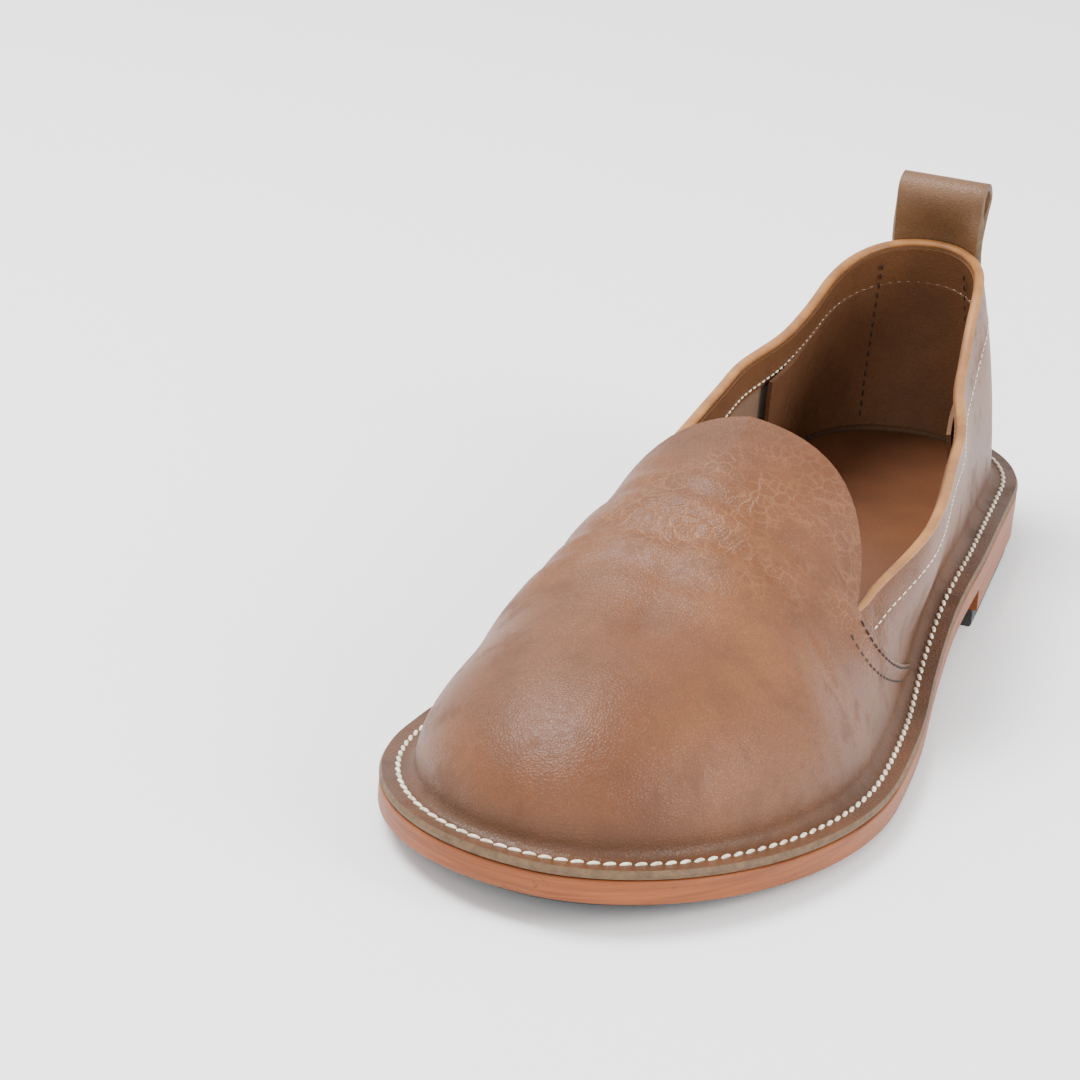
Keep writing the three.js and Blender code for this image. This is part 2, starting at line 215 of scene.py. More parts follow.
class Finish:
    """A procedural material: small steps that add a node and join it up."""

    def __init__(self, name, roughness, specular=0.5):
        self.material = bpy.data.materials.new(name)
        self.material.use_nodes = True
        self.tree = self.material.node_tree
        self.shader = self.tree.nodes["Principled BSDF"]
        self.shader.inputs["Roughness"].default_value = roughness
        self.shader.inputs["Specular IOR Level"].default_value = specular
        self.place = self.node("ShaderNodeTexCoord").outputs["Object"]

    def node(self, kind, **values):
        made = self.tree.nodes.new(kind)
        for key, value in values.items():
            setattr(made, key, value)
        return made

    def join(self, source, target):
        self.tree.links.new(source, target)

    def stretched(self, scale):
        mapping = self.node("ShaderNodeMapping")
        mapping.inputs["Scale"].default_value = scale
        self.join(self.place, mapping.inputs["Vector"])
        return mapping.outputs["Vector"]

    def warped(self, reach, scale):
        """The place, pushed about by a noise over a reach in metres."""
        push = self.node("ShaderNodeTexNoise")
        push.inputs["Scale"].default_value = scale
        self.join(self.place, push.inputs["Vector"])
        moved = self.node("ShaderNodeVectorMath", operation="MULTIPLY_ADD")
        self.join(push.outputs["Color"], moved.inputs[0])
        moved.inputs[1].default_value = (reach, reach, reach)
        self.join(self.place, moved.inputs[2])
        return moved.outputs["Vector"]

    def noise(self, scale, detail=3, roughness=0.5, place=None, distortion=0):
        made = self.node("ShaderNodeTexNoise")
        made.inputs["Scale"].default_value = scale
        made.inputs["Detail"].default_value = detail
        made.inputs["Roughness"].default_value = roughness
        made.inputs["Distortion"].default_value = distortion
        self.join(place or self.place, made.inputs["Vector"])
        return made.outputs["Fac"]

    def cells(self, scale, feature="F1", place=None):
        made = self.node("ShaderNodeTexVoronoi", feature=feature)
        made.inputs["Scale"].default_value = scale
        self.join(place or self.place, made.inputs["Vector"])
        return made.outputs["Distance"]

    def band(self, source, low, high, to_low=0.0, to_high=1.0):
        made = self.node("ShaderNodeMapRange")
        for key, value in zip(("From Min", "From Max", "To Min", "To Max"), (low, high, to_low, to_high)):
            made.inputs[key].default_value = value
        self.join(source, made.inputs["Value"])
        return made.outputs["Result"]

    def attribute(self, name):
        return self.node("ShaderNodeAttribute", attribute_name=name).outputs["Fac"]

    def times(self, first, second):
        made = self.node("ShaderNodeMath", operation="MULTIPLY")
        for source, socket in zip((first, second), made.inputs):
            if isinstance(source, (int, float)):
                socket.default_value = source
            else:
                self.join(source, socket)
        return made.outputs["Value"]

    def mix(self, share, first, second):
        made = self.node("ShaderNodeMix", data_type="RGBA")
        self.join(share, made.inputs["Factor"])
        for source, socket in ((first, made.inputs["A"]), (second, made.inputs["B"])):
            if isinstance(source, tuple):
                socket.default_value = source
            else:
                self.join(source, socket)
        return made.outputs["Result"]

    def colour(self, source):
        self.join(source, self.shader.inputs["Base Color"])

    def rough(self, source, low, high):
        self.join(self.band(source, 0.3, 0.7, low, high), self.shader.inputs["Roughness"])

    def bump(self, source, depth, strength=1.0, under=None):
        """Relief of a depth in metres. Returns the normal, so that reliefs can be laid over each other."""
        made = self.node("ShaderNodeBump")
        made.inputs["Strength"].default_value = strength
        made.inputs["Distance"].default_value = depth
        self.join(source, made.inputs["Height"])
        if under:
            self.join(under, made.inputs["Normal"])
        self.join(made.outputs["Normal"], self.shader.inputs["Normal"])
        return made.outputs["Normal"]


def rubber_finish():
    finish = Finish("black_rubber", 0.62, 0.4)
    dust = finish.band(finish.noise(90, 5, 0.6), 0.45, 0.75)
    finish.colour(finish.mix(dust, srgb(44, 44, 46), srgb(62, 61, 61)))
    finish.bump(finish.noise(900, 2), 0.00012, 0.5)
    return finish.material


rubber = rubber_finish()
top_piece = slab(
    "heel_top_piece_rubber", 0, heel_length, heel_taper,
    lambda y: 0, lambda y: top_piece_thickness, 0.7, rubber,
)
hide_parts("heel_top_piece")

# Heel lift. One layer of sole leather between the rubber and the outsole, cemented and pegged,
# then sanded flush with the sole's edge, dyed orange-tan and waxed.


def sole_edge_finish(name, light, dark):
    finish = Finish(name, 0.5, 0.3)
    grain_lines = finish.noise(240, 6, 0.65, finish.stretched((0.16, 0.16, 5.0)))
    body = finish.mix(finish.band(grain_lines, 0.35, 0.7), light, dark)
    specks = finish.band(finish.noise(620, 4, 0.7), 0.62, 0.72)
    clouds = finish.band(finish.noise(55, 4, 0.6), 0.4, 0.7)
    speckled = finish.mix(finish.times(specks, finish.band(clouds, 0, 1, 0.35, 1)), body, srgb(74, 38, 18))
    finish.colour(finish.mix(finish.times(clouds, 0.35), speckled, srgb(120, 70, 38)))
    relief = finish.bump(grain_lines, 0.00025, 0.6)
    finish.bump(specks, -0.0001, 0.5, relief)
    return finish.material


sole_edge = sole_edge_finish("sole_leather_edge", srgb(140, 76, 36), srgb(104, 52, 24))
lift = slab(
    "heel_lift_leather", 0, heel_length, 0.15,
    lambda y: top_piece_thickness + seat * 0.4, lambda y: heel_stack - seat * 0.2, 0.35, sole_edge,
)
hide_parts("heel_lift")

# Outsole. One slab of vegetable-tanned sole leather from heel to toe, cut to the outline of the
# last plus the flange, stitched through with the upper, its edge trimmed, dyed and burnished.

outsole = slab("outsole_leather", 0, sole_length, 0, sole_bottom, sole_top, 0.6, sole_edge, 240)
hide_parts("outsole")

# Forefoot rubber. A thin black half sole from the waist to the toe, set in from the edge and
# cemented on. Its back edge is cut straight across and skived thin.

rubber_inset = 4.5
rubber_start = 168

half_sole = slab(
    "forefoot_rubber_sheet", rubber_start, sole_length, rubber_inset,
    lambda y: sole_bottom(y) - rubber_thickness, lambda y: sole_bottom(y) - seat * 0.2, 0.4, rubber, 140,
)
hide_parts("forefoot_rubber")

# Insole. A smooth leather sock over the insole board, cemented down inside the shoe before the
# last is pulled. It lies flat and its edge runs under the lining.

leather = 2
flange_width = 7.5
insole_thickness = 2.6


def sock_finish():
    finish = Finish("insole_leather", 0.5, 0.4)
    wear = finish.band(finish.noise(28, 4, 0.6), 0.35, 0.7)
    finish.colour(finish.mix(wear, srgb(102, 62, 36), srgb(86, 50, 28)))
    pores = finish.bump(finish.cells(900), 0.00012, 0.35)
    finish.bump(finish.noise(260, 4), 0.0002, 0.3, pores)
    return finish.material


insole = slab(
    "insole_sock", 0, sole_length, flange_width + leather + 0.1,
    lambda y: sole_top(y) + seat * 0.3, lambda y: sole_top(y) + seat + insole_thickness, 0.5, sock_finish(), 160,
)
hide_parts("insole")

# Upper. Waxed full-grain cow leather, 2 mm thick: an inner and an outer quarter and a plain vamp
# with a rounded tongue. It is pulled over the last, and its lower edge is turned outwards on the
# sole. The vamp lies over the quarters at the side seams.

flange_reveal = 0.4
fillet_radius = 2.5
back_height = 53.5
instep_height = 66
seam_sweep = 38
sweep_reach = 109
tongue_length = 28.5
tongue_round = 2.6
tongue_tuck = 0.03
vamp_step = 1.4
step_ramp = 14
weld_reach = 0.001

last_table = [
    {"along": 0.0, "ridge": 0.155, "rise": 1.42, "wide": 2.5, "tall": 2.4, "outer": -0.06, "inner": -0.06},
    {"along": 0.2, "ridge": 0.327, "rise": 1.34, "wide": 2.3, "tall": 2.4, "outer": -0.14, "inner": -0.18},
    {"along": 0.3, "ridge": 0.427, "rise": 1.2, "wide": 2.3, "tall": 2.3, "outer": 0.16, "inner": 0.24},
    {"along": 0.4, "ridge": 0.55, "rise": 1.01, "wide": 2.2, "tall": 2.1, "outer": 0.25, "inner": 0.37},
    {"along": 0.487, "ridge": 0.65, "rise": 0.885, "wide": 2.1, "tall": 2.0, "outer": -0.05, "inner": 0.15},
    {"along": 0.6, "ridge": 0.687, "rise": 0.785, "wide": 2.0, "tall": 1.9, "outer": -0.1, "inner": 0.05},
    {"along": 0.75, "ridge": 0.74, "rise": 0.665, "wide": 2.0, "tall": 1.9, "outer": 0.0, "inner": -0.03},
    {"along": 0.9, "ridge": 0.785, "rise": 0.58, "wide": 2.1, "tall": 1.9, "outer": 0.0, "inner": -0.02},
    {"along": 1.0, "ridge": 0.8, "rise": 0.56, "wide": 2.1, "tall": 1.9, "outer": 0.0, "inner": 0.0},
]
collar_table = [
    {"along": 0.0, "outer": 1.0, "inner": 1.0},
    {"along": 0.1, "outer": 0.93, "inner": 0.88},
    {"along": 0.2, "outer": 0.69, "inner": 0.77},
    {"along": 0.3, "outer": 0.58, "inner": 0.695},
    {"along": 0.4, "outer": 0.565, "inner": 0.62},
    {"along": 0.487, "outer": 0.475, "inner": 0.52},
]
seam_along = seam_base / sole_length
seam_t = unspread(seam_along)


def feather(t, side):
    return inside_edge(t, side, flange_width)


def flange_top(y):
    return sole_top(y) + seat + leather


def foot_height(y):
    return flange_top(y) + fillet_radius


def sweep(along):
    u = (along - seam_along) * sole_length / sweep_reach
    return seam_sweep / sole_length * max(1 - u * u, 0) ** 2


def ridge_point(t):
    along = spread(t)
    y = read(last_table, along, "ridge") * sole_length
    z = sole_top(y) + read(last_table, along, "rise") * instep_height
    return np.array([middle_line(along), y, z])


def collar_share(t, side):
    height = read(collar_table, min(spread(t), seam_along), side_name(side)) * back_height
    return height / (ridge_point(t)[2] - foot_height(feather(t, side)[1]))


def wall_point(t, side, angle):
    """A point of the wall's outer face. The angle is 0 at the foot and a quarter turn on the ridge."""
    along = spread(t)
    ridge = ridge_point(t)
    swell = read(last_table, along, side_name(side))
    up = max(math.sin(angle), 0) ** (2 / read(last_table, along, "tall"))
    swept = 1 - (1 - min(up / collar_share(min(t, seam_t), side), 1)) ** 2
    foot = foot_height(feather(t, side)[1])
    base = feather(unspread(min(along + sweep(along) * swept, 1)), side)
    out = max(math.cos(angle), 0) ** (2 / read(last_table, along, "wide")) + swell * math.sin(2 * angle)
    x, y = ridge[:2] + (base - ridge[:2]) * out
    return np.array([x, y, foot + (ridge[2] - foot) * up])


def angle_at(t, up):
    return math.asin(min(max(up, 0), 1) ** (read(last_table, spread(t), "tall") / 2))


def collar_angle(t, side):
    return angle_at(t, collar_share(t, side))


def section_of_ridge(y):
    low, high = 0, 1
    for _ in range(40):
        middle = (low + high) / 2
        if ridge_point(middle)[1] < y:
            low = middle
        else:
            high = middle
    return low


tongue_t = section_of_ridge(ridge_point(seam_t)[1] - tongue_length)


def tongue_shape(share):
    """Half width of the tongue over that at its corners, with a small tuck at each corner."""
    inside = min(max(share, 0), 1)
    rounding = (1 - (1 - inside) ** tongue_round) ** (1 / tongue_round)
    return (1 - tongue_tuck) * rounding + tongue_tuck * inside**8


def vamp_angle(t, side):
    """Lowest angle of the vamp: the rounded edge of the tongue, then a line that runs to the toe."""
    corner_angle = collar_angle(seam_t, side)
    if t >= seam_t:
        shared = (corner_angle + collar_angle(seam_t, -side)) / 2
        return corner_angle + (shared - corner_angle) * smooth((t - seam_t) / (1 - seam_t))
    tip = ridge_point(tongue_t)
    corner = wall_point(seam_t, side, corner_angle)
    low, high = 0, math.pi / 2
    for _ in range(30):
        angle = (low + high) / 2
        point = wall_point(t, side, angle)
        beside = abs((point[0] - tip[0]) / (corner[0] - tip[0]))
        share = (point[1] - tip[1]) / (corner[1] - tip[1])
        if beside < tongue_shape(share):
            high = angle
        else:
            low = angle
    return high


# Creases where the foot bends, each from a place on the outer side to one on the inner side:
# x and y of its ends, how far it bows to the toe, its depth and its half width
crease_table = [
    {"start": (-36, 200), "end": (26, 191), "bow": 6, "depth": 0.7, "width": 2.4},
    {"start": (-40, 210), "end": (14, 204), "bow": 5, "depth": 0.6, "width": 2.0},
    {"start": (-18, 212), "end": (34, 203), "bow": 5, "depth": 0.6, "width": 2.2},
    {"start": (-30, 223), "end": (20, 219), "bow": 4, "depth": 0.35, "width": 2.8},
    {"start": (-10, 197), "end": (26, 182), "bow": 3, "depth": 0.5, "width": 1.9},
    {"start": (-41, 219), "end": (-16, 208), "bow": 2, "depth": 0.4, "width": 1.8},
    {"start": (12, 214), "end": (38, 212), "bow": 3, "depth": 0.35, "width": 2.2},
    {"start": (-42, 192), "end": (-20, 196), "bow": 2, "depth": 0.4, "width": 1.8},
]


def crease_depth(points):
    """How far the creases press each point in. Between two creases the leather swells a little."""
    depth = np.zeros(len(points))
    for crease in crease_table:
        start, end = np.array(crease["start"], float), np.array(crease["end"], float)
        run = end - start
        length = math.hypot(*run)
        run /= length
        offset = points[:, :2] - start
        along = offset @ run / length
        beside = offset @ np.array([-run[1], run[0]])
        inside = np.clip(4 * along * (1 - along), 0, 1)
        across = (beside - crease["bow"] * inside) / crease["width"]
        trough = np.exp(-(across**2)) - 0.45 * np.exp(-((np.abs(across) - 1.9) ** 2))
        depth += crease["depth"] * trough * inside**0.6 * ((along > 0) & (along < 1))
    return depth * (points[:, 2] > 26)


def spots(points):
    """Numbers of the points, with the same number for points in the same place."""
    _, first, index = np.unique(
        np.round(points / weld_reach).astype(np.int64), axis=0, return_index=True, return_inverse=True
    )
    return first, index.ravel()


def face_normals(points, faces):
    normals = np.zeros((len(faces), 3))
    for i, face in enumerate(faces):
        a, b, c = points[face[0]], points[face[len(face) // 2]], points[face[-1]]
        normals[i] = np.cross(points[face[1]] - a, b - a) + np.cross(b - a, c - a)
    return normals


def thick_wall(points, quads, lifts, inward, rim):
    """A closed wall from one surface: outer face, inner face and a rounded rim along its borders.

    Returns its points, its faces, the part of the wall that each face belongs to (0 outside,
    1 inside, 2 rim) and the number of points of one face.
    """
    first, index = spots(np.c_[points, lifts])
    merged, lifts = points[first], lifts[first]
    _, spot = spots(merged)
    faces, zones = [], []
    for quad in index[quads]:
        face = [v for k, v in enumerate(quad) if v != quad[k - 1]]
        if len(set(face)) > 2:
            faces.append(face)
            zones.append(2 if len({spot[v] for v in face}) < len(face) else 0)
    sums = np.zeros((spot.max() + 1, 3))
    for face, normal in zip(faces, face_normals(merged, faces)):
        for v in face:
            sums[spot[v]] += normal
    normals = sums[spot]
    normals /= np.linalg.norm(normals, axis=1)[:, None] + 1e-12
    outside = merged + normals * (lifts - crease_depth(merged))[:, None]
    inside = merged - normals * inward
    count = len(merged)
    border = {}
    for face in faces:
        for k, v in enumerate(face):
            before = face[k - 1]
            if border.pop((v, before), None) is None:
                border[(before, v)] = True
    outward = np.zeros((count, 3))
    for a, b in border:
        way = np.cross(outside[b] - outside[a], normals[a] + normals[b])
        for v in (a, b):
            outward[v] += way
    rim_points = sorted({v for pair in border for v in pair})
    rim_index = {v: count * 2 + k for k, v in enumerate(rim_points)}
    lengths = np.linalg.norm(outward[rim_points], axis=1)[:, None] + 1e-12
    middle = (outside[rim_points] + inside[rim_points]) / 2 + outward[rim_points] / lengths * rim
    closed = [list(face) for face in faces]
    closed += [[v + count for v in reversed(face)] for face in faces]
    zones += [1] * len(faces)
    for a, b in border:
        closed += [[b, a, rim_index[a], rim_index[b]], [rim_index[b], rim_index[a], a + count, b + count]]
        zones += [2, 2]
    return np.vstack([outside, inside, middle]), closed, zones, merged


def grid_quads(rows, columns, offset, flip):
    quads = []
    for r in range(rows - 1):
        for c in range(columns - 1):
            a = offset + r * columns + c
            quad = (a, a + 1, a + columns + 1, a + columns)
            quads.append(quad[::-1] if flip else quad)
    return quads


def section_list():
    back = [{"t": tongue_t * i / 44, "seam": ""} for i in range(44)]
    tongue = []
    for i in range(22):
        u = i / 22
        tongue.append({"t": tongue_t + (seam_t - tongue_t) * u * u * (2 - u), "seam": ""})
    front = [{"t": seam_t + (1 - seam_t) * i / 64, "seam": "front" if i == 0 else ""} for i in range(65)]
    return back + tongue + [{"t": seam_t, "seam": "back"}] + front


def vamp_lift(section, side, angle):
    """The vamp stands over the quarter at the seam, and the step fades out towards the toe."""
    if section["seam"] == "back" or section["t"] < seam_t:
        return 0
    ahead = (spread(section["t"]) - seam_along) * sole_length
    corner_angle = collar_angle(seam_t, side)
    above = (angle - corner_angle) / (math.pi / 2 - corner_angle)
    return vamp_step * (1 - smooth(ahead / step_ramp)) * (1 - smooth(above * 2))


def upper_surface():
    sections = section_list()
    points, lifts, quads = [], [], []
    wall_rows, vamp_rows = 18, 26
    for side in (-1, 1):
        start = len(points)
        for section in sections:
            t = section["t"]
            foot = feather(t, side)
            rim = inside_edge(t, side, flange_reveal)
            out = (rim - foot) / math.hypot(*(rim - foot))
            for share in (0, 0.25, 0.5):
                x, y = rim + (foot - rim) * share
                points.append((x, y, flange_top(y)))
                lifts.append(0)
            for turn in (1, 0.8, 0.6, 0.4, 0.2):
                quarter = turn * math.pi / 2
                x, y = foot + out * fillet_radius * (1 - math.cos(quarter))
                points.append((x, y, flange_top(foot[1]) + fillet_radius * (1 - math.sin(quarter))))
                lifts.append(vamp_lift(section, side, 0) * (1 - turn))
            top = vamp_angle(t, side) if t > seam_t else collar_angle(t, side)
            for r in range(wall_rows + 1):
                angle = top * r / wall_rows
                points.append(wall_point(t, side, angle))
                lifts.append(vamp_lift(section, side, angle))
        quads += grid_quads(len(sections), wall_rows + 9, start, side > 0)
        start = len(points)
        vamp_sections = [s for s in sections if s["t"] >= tongue_t and s["seam"] != "back"]
        for section in vamp_sections:
            low = vamp_angle(section["t"], side)
            for r in range(vamp_rows + 1):
                angle = low + (math.pi / 2 - low) * r / vamp_rows
                points.append(wall_point(section["t"], side, angle))
                lifts.append(vamp_lift(section, side, angle))
        quads += grid_quads(len(vamp_sections), vamp_rows + 1, start, side > 0)
    return np.array(points), np.array(quads), np.array(lifts)


def upper_leather_finish(name, light, middle, dark, painted_shade_name=None, bend_name=None):
    finish = Finish(name, 0.48, 0.3)
    clouds = finish.band(finish.noise(22, 4, 0.55, distortion=0.4), 0.32, 0.68)
    body = finish.mix(clouds, middle, light)
    mottle = finish.band(finish.noise(95, 5, 0.65), 0.45, 0.72)
    body = finish.mix(finish.times(mottle, 0.4), body, dark)
    pores = finish.noise(1500, 2, 0.6)
    body = finish.mix(finish.band(pores, 0.5, 0.75, 0, 0.3), body, dark)
    # Painted shade: the colour turns dark brown in patches towards the foot of the wall and on the flange.
    if painted_shade_name:
        shade = finish.attribute(painted_shade_name)
        patchy = finish.times(shade, finish.band(finish.noise(60, 4, 0.6), 0.3, 0.6, 0.35, 1))
        body = finish.mix(patchy, body, srgb(70, 47, 30))
    warped = finish.warped(0.0012, 500)
    furrows = finish.band(finish.cells(1250, "DISTANCE_TO_EDGE", warped), 0.0, 0.3)
    body = finish.mix(finish.band(furrows, 0, 1, 0.22, 0), body, dark)
    relief = finish.bump(furrows, 0.00013, 0.45)
    relief = finish.bump(finish.noise(420, 6, 0.62), 0.0003, 0.3, relief)
    if bend_name:
        wrinkles = finish.band(finish.cells(330, "DISTANCE_TO_EDGE", finish.warped(0.005, 150)), 0.0, 0.12)
        bend = finish.times(finish.attribute(bend_name), finish.band(finish.noise(38, 3, 0.6), 0.4, 0.6))
        lines = finish.times(bend, finish.band(wrinkles, 0, 1, 1, 0))
        body = finish.mix(finish.times(lines, 0.45), body, srgb(150, 104, 66))
        relief = finish.bump(lines, -0.0003, 0.6, relief)
    finish.colour(body)
    finish.rough(mottle, 0.42, 0.56)
    finish.bump(pores, 0.00008, 0.4, relief)
    return finish.material


def lining_finish(name, light, dark):
    finish = Finish(name, 0.85, 0.2)
    nap = finish.noise(700, 4, 0.7)
    clouds = finish.band(finish.noise(40, 3, 0.5), 0.35, 0.7)
    body = finish.mix(finish.times(clouds, 0.6), light, dark)
    finish.colour(finish.mix(finish.band(nap, 0.4, 0.7, 0, 0.5), body, dark))
    finish.shader.inputs["Sheen Weight"].default_value = 0.15
    finish.bump(nap, 0.0002, 0.5)
    return finish.material


def cut_edge_finish():
    finish = Finish("cut_leather_edge", 0.6, 0.3)
    fibres = finish.noise(500, 5, 0.7)
    finish.colour(finish.mix(finish.band(fibres, 0.35, 0.7), srgb(104, 80, 56), srgb(72, 56, 40)))
    finish.bump(fibres, 0.0002, 0.5)
    return finish.material


upper_leather = upper_leather_finish(
    "upper_leather", srgb(116, 71, 40), srgb(95, 54, 28), srgb(68, 40, 22), "painted_foot_shade", "bend_zone"
)
suede_lining = lining_finish("suede_lining", srgb(126, 94, 68), srgb(98, 72, 50))
cut_edge = cut_edge_finish()

wall_points, wall_faces, wall_zones, wall_merged = thick_wall(*upper_surface(), leather, 0.5)
upper = make_piece("upper_leather_wall", wall_points, wall_faces, upper_leather, 50)
upper.data.materials.append(suede_lining)
upper.data.materials.append(cut_edge)
for polygon, zone in zip(upper.data.polygons, wall_zones):
    polygon.material_index = zone
painted_foot_shade = upper.data.attributes.new("painted_foot_shade", "FLOAT", "POINT")
bend_zone = upper.data.attributes.new("bend_zone", "FLOAT", "POINT")
# The first value is painted shade, strongest on the flange and gone about 7 mm above it; the second marks where the
# foot bends.
for k, (x, y, z) in enumerate(wall_points):
    above = z - flange_top(y)
    painted_foot_shade.data[k].value = 0.75 * math.exp(-((max(above, 0) / 7) ** 2))
    bend_zone.data[k].value = math.exp(-(((y - 200) / 24) ** 2)) * smooth((z - 20) / 12)
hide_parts("upper")

# Collar roll. A narrow strip of leather turned over the topline, with the facing behind
# it, and closed with the first row of stitches. Its light tan colour is a painted highlight.


def wall_frame(place, share):
    """Point, outward normal and upward way of the quarter's wall.

    place runs from -seam_t at the outer seam over 0 at the back to seam_t at the inner seam,
    and share from 0 at the foot to 1 at the collar.
    """
    step = 0.002

    def at(p, s):
        side = -1 if p < 0 else 1
        return wall_point(abs(p), side, angle_at(abs(p), collar_share(abs(p), side) * s))

    point = at(place, share)
    along = at(place + step, share) - at(place - step, share)
    up = at(place, share + step) - at(place, share - step)
    normal = np.cross(along, up)
    normal /= np.linalg.norm(normal)
    up = np.cross(normal, along / np.linalg.norm(along))
    return point, normal, up / np.linalg.norm(up)


def tube(name, rows, material):
    """A closed tube through rings of points."""
    ring = len(rows[0])
    faces = []
    for i in range(len(rows) - 1):
        for k in range(ring):
            a, b = i * ring + k, i * ring + (k + 1) % ring
            faces.append((a, b, b + ring, a + ring))
    faces.append(tuple(reversed(range(ring))))
    faces.append(tuple(range((len(rows) - 1) * ring, len(rows) * ring)))
    return make_piece(name, np.vstack(rows), faces, material, 60)


roll_half_width = 1.3
roll_half_height = 0.9


def roll_rows():
    rows = []
    for i in range(141):
        place = seam_t * (i / 70 - 1) * 0.999
        point, normal, up = wall_frame(place, 1)
        centre = point - normal * leather / 2 + up * 0.15
        ring = []
        for k in range(12):
            turn = k / 12 * 2 * math.pi
            ring.append(centre + normal * roll_half_width * math.cos(turn) + up * roll_half_height * math.sin(turn))
        rows.append(ring)
    return rows


def painted_highlight_roll_finish():
    finish = Finish("collar_roll_painted_highlight", 0.45, 0.4)
    worn = finish.band(finish.noise(120, 4, 0.6), 0.35, 0.7)
    # Painted highlight: both tones are much lighter than the upper, for the light along the roll's rounded top.
    finish.colour(finish.mix(worn, srgb(156, 104, 54), srgb(124, 80, 42)))
    finish.bump(finish.noise(600, 4), 0.0002, 0.4)
    return finish.material


collar_roll = tube("collar_roll", roll_rows(), painted_highlight_roll_finish())

# Facing. A 14 mm band of the upper's leather inside the topline, sewn to the quarters along its
# lower edge with an off-white thread that shows on both sides.


def inner_panel(name, places, shares, depth, thickness, material, flare=0):
    """A thin panel on the inner face of the wall, between two shares of its height."""
    front, back = [], []
    low, high = shares
    rows = 10
    for place in places:
        ends = abs(place) / max(abs(places[0]), abs(places[-1]))
        away = depth + flare * max(ends - 0.8, 0) / 0.2
        for r in range(rows + 1):
            point, normal, _ = wall_frame(place, low + (high - low) * r / rows)
            front.append(point - normal * (away + thickness))
            back.append(point - normal * away)
    count = len(front)
    quads = grid_quads(len(places), rows + 1, 0, False)
    faces = [tuple(reversed(quad)) for quad in quads]
    faces += [tuple(v + count for v in quad) for quad in quads]
    columns = rows + 1
    last = (len(places) - 1) * columns
    loop = list(range(columns)) + [i * columns + rows for i in range(1, len(places))]
    loop += [last + r for r in range(rows - 1, -1, -1)] + [i * columns for i in range(len(places) - 2, 0, -1)]
    for k, a in enumerate(loop):
        b = loop[(k + 1) % len(loop)]
        faces.append((a, b, b + count, a + count))
    return make_piece(name, front + back, faces, material, 50)


facing_share = 0.76
facing_leather = upper_leather_finish(
    "facing_leather", srgb(112, 76, 48), srgb(98, 64, 40), srgb(76, 50, 32)
)
facing = inner_panel(
    "collar_facing", [seam_t * (i / 50 - 1) for i in range(101)], (facing_share, 0.985), leather, 0.7,
    facing_leather,
)

# Counter lining. A smooth leather panel that covers the stiffener at the heel, cemented in under
# the facing. Its two front edges aren't sewn and stand off a little.

counter_t = 0.33
counter_leather = upper_leather_finish(
    "counter_lining_leather", srgb(108, 74, 50), srgb(94, 62, 41), srgb(74, 48, 32)
)
counter = inner_panel(
    "counter_lining", [counter_t * (i / 40 - 1) for i in range(81)], (0.0, 0.8), leather + 0.2, 1.1,
    counter_leather, 1.6,
)

# Flange stitches. A heavy waxed off-white thread, about seven stitches to the inch, that holds
# upper and sole together all the way round.


def thread_finish(name, light, dark):
    finish = Finish(name, 0.6, 0.3)
    finish.colour(finish.mix(finish.band(finish.noise(800, 2), 0.4, 0.65), light, dark))
    return finish.material


def stitch_row(name, path, pitch, length, width, height, material, slant=0.0):
    """Stitches along a path of (point, normal) pairs, each a long bead that lies on the surface."""
    points = np.array([p for p, _ in path])
    normals = np.array([n for _, n in path])
    run = np.r_[0, np.cumsum(np.linalg.norm(np.diff(points, axis=0), axis=1))]
    count = max(int(run[-1] // pitch), 1)
    rings, ring = 6, 8
    vertices, faces = [], []
    for i in range(count):
        place = (i + 0.5) * run[-1] / count
        centre, ahead, normal = (
            np.array([np.interp(s, run, column) for column in table.T])
            for s, table in ((place, points), (place + 0.2, points), (place, normals))
        )
        normal /= np.linalg.norm(normal)
        along = ahead - centre
        along -= normal * (along @ normal)
        along /= np.linalg.norm(along) + 1e-9
        across = np.cross(normal, along)
        turned = along * math.cos(slant) + across * math.sin(slant)
        beside = np.cross(normal, turned)
        base = len(vertices)
        for r in range(rings + 1):
            turn = math.pi * r / rings
            size = math.sin(turn) ** 0.6 if 0 < r < rings else 0.15
            middle = centre + turned * (-math.cos(turn) * length / 2) - normal * height * 0.25 * math.cos(turn) ** 2
            for k in range(ring):
                angle = 2 * math.pi * k / ring
                vertices.append(
                    middle + beside * width / 2 * size * math.cos(angle) + normal * height / 2 * size * math.sin(angle)
                )
        for r in range(rings):
            for k in range(ring):
                a, b = base + r * ring + k, base + r * ring + (k + 1) % ring
                faces.append((a, b, b + ring, a + ring))
        faces.append(tuple(base + k for k in reversed(range(ring))))
        faces.append(tuple(base + rings * ring + k for k in range(ring)))
    return make_piece(name, vertices, faces, material, 80)


white_thread = thread_finish("off_white_thread", srgb(236, 228, 210), srgb(190, 176, 152))
black_thread = thread_finish("black_thread", srgb(52, 44, 38), srgb(34, 29, 26))
flange_row_inset = 4.0


def flange_path():
    path = []
    for side, order in ((-1, range(0, 241)), (1, range(240, -1, -1))):
        for i in order:
            x, y = inside_edge(i / 240, side, flange_row_inset)
            path.append((np.array([x, y, flange_top(y) + 0.1]), np.array([0.0, 0.0, 1.0])))
    return path


flange_stitches = stitch_row("flange_stitches", flange_path(), 3.4, 3.0, 1.05, 0.85, white_thread, 0.24)

# Facing stitches. Thin off-white thread, one row on the outside of each quarter and the same
# row on the facing inside, from the heel strip to the side seam.

strip_width = 22.5


def wall_path(start, end, share, inside=0.0, steps=90):
    path = []
    for i in range(steps + 1):
        point, normal, _ = wall_frame(start + (end - start) * i / steps, share)
        if inside:
            path.append((point - normal * inside, -normal))
        else:
            path.append((point + normal * 0.05, normal))
    return path


